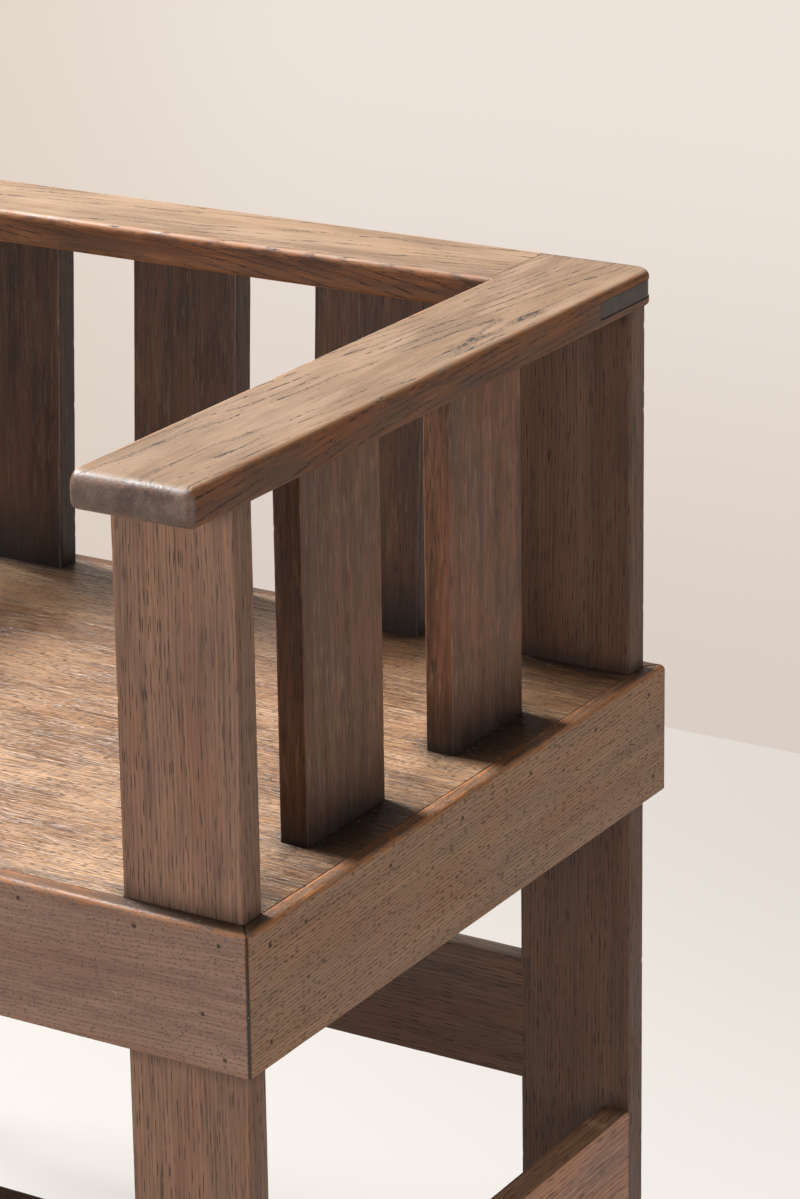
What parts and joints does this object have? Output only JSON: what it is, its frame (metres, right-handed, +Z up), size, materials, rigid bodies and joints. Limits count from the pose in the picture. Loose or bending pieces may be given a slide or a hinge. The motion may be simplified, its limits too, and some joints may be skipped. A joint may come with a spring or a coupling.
{
  "type": "oak armchair",
  "caption": "Low-back armchair of flat oak boards, with arms and back rail at one level, upright slats and a mitred apron round a flush board seat.",
  "frame": {"origin": "on the floor, at the middle of the whole chair's plan", "axes": "+Z up, -Y is the chair's front, +X is its right side as seen from the front"},
  "size_m": [0.668, 0.498, 0.6845],
  "materials": {
    "oak_frame": "dark stained and waxed, worn at the edges",
    "oak_arms": "waxed, rubbed pale on top",
    "oak_aprons": "dark stained and waxed, open pores",
    "oak_seat": "waxed, rubbed pale, scratched",
    "oak_cleats": "sawn and planed, unfinished",
    "steel_nails": "dark, oxidised"
  },
  "bodies": {
    "root": {"leg_front_left": "oak_frame", "leg_front_right": "oak_frame", "leg_rear_left": "oak_frame", "leg_rear_right": "oak_frame", "side_slat_left_front": "oak_frame", "side_slat_left_rear": "oak_frame", "side_slat_right_front": "oak_frame", "side_slat_right_rear": "oak_frame", "back_slat_left": "oak_frame", "back_slat_centre": "oak_frame", "back_slat_right": "oak_frame", "stretcher_front": "oak_frame", "stretcher_rear": "oak_frame", "stretcher_left": "oak_frame", "stretcher_right": "oak_frame", "arm_left": "oak_arms", "arm_right": "oak_arms", "back_rail": "oak_arms", "apron_front": "oak_aprons", "apron_rear": "oak_aprons", "apron_left": "oak_aprons", "apron_right": "oak_aprons", "seat_board_front": "oak_seat", "seat_board_rear": "oak_seat", "seat_strip_rear": "oak_seat", "seat_cleat_front": "oak_cleats", "seat_cleat_rear": "oak_cleats", "seat_cleat_left": "oak_cleats", "seat_cleat_right": "oak_cleats", "apron_nails": "steel_nails"}
  },
  "joints": []
}
